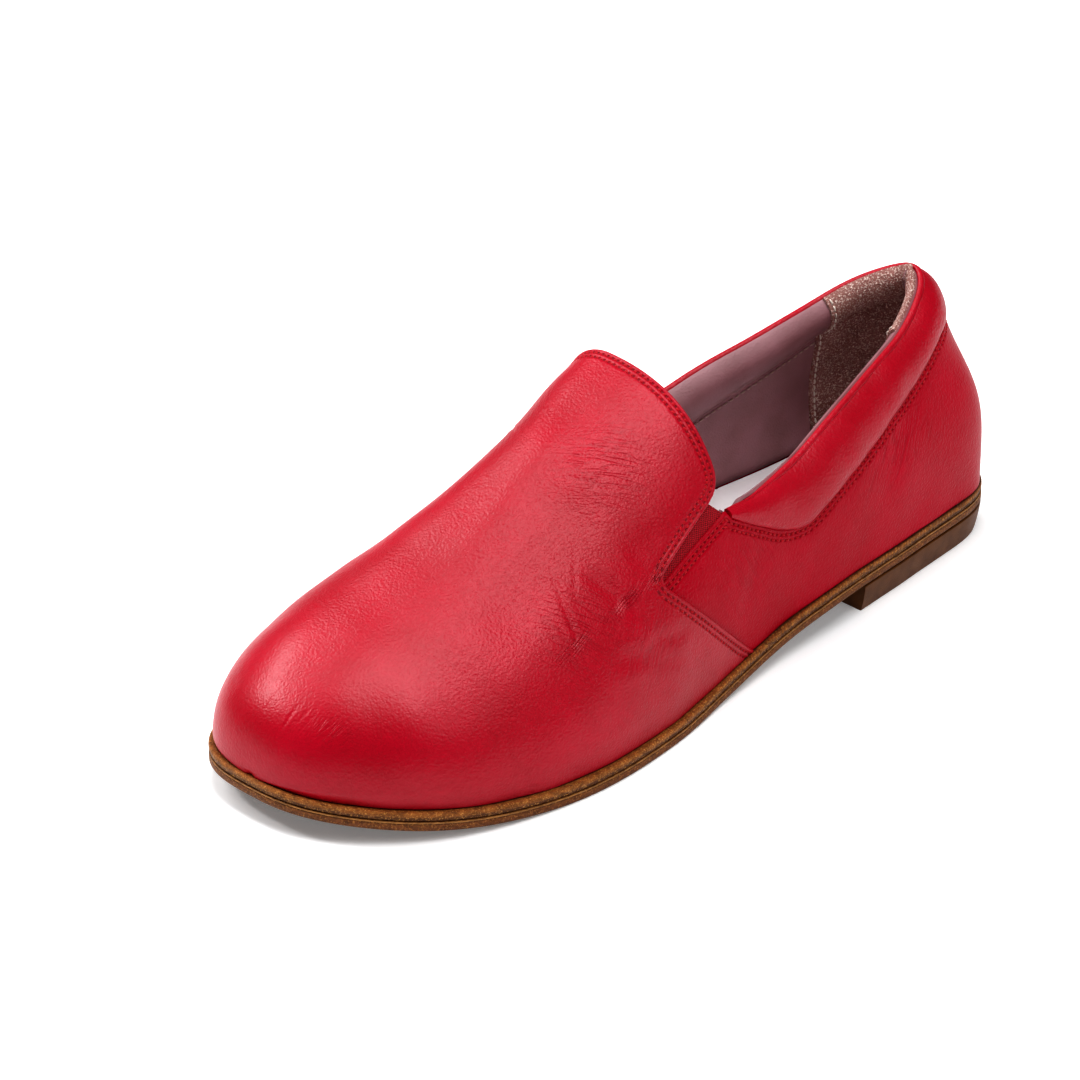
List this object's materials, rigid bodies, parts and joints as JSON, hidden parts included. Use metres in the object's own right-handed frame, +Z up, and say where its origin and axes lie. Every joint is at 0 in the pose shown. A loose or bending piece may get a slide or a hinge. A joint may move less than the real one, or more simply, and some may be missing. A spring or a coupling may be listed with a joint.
{
  "type": "slip-on shoe",
  "caption": "Left leather slip-on shoe with elastic wedges at the throat, a soft rolled collar, a stitched welted sole and a low stacked heel.",
  "frame": {"origin": "middle of the heel's flat face on the ground", "axes": "+X along the shoe to the toe, +Y to the outer side of the foot, +Z up"},
  "size_m": [0.27, 0.0958, 0.0882],
  "materials": {
    "red_leather": "glazed",
    "lining": "matt",
    "suede": "napped",
    "elastic": "ribbed",
    "thread": "waxed",
    "welt_leather": "waxed",
    "sole_leather": "waxed",
    "heel_rubber": "satin",
    "sock": "matt"
  },
  "bodies": {
    "root": {"outsole": "sole_leather", "midsole": "welt_leather", "heel": "heel_rubber", "upper": "red_leather", "collar": "red_leather", "gore_outer": "elastic", "gore_inner": "elastic", "insole": "sock"}
  },
  "joints": []
}
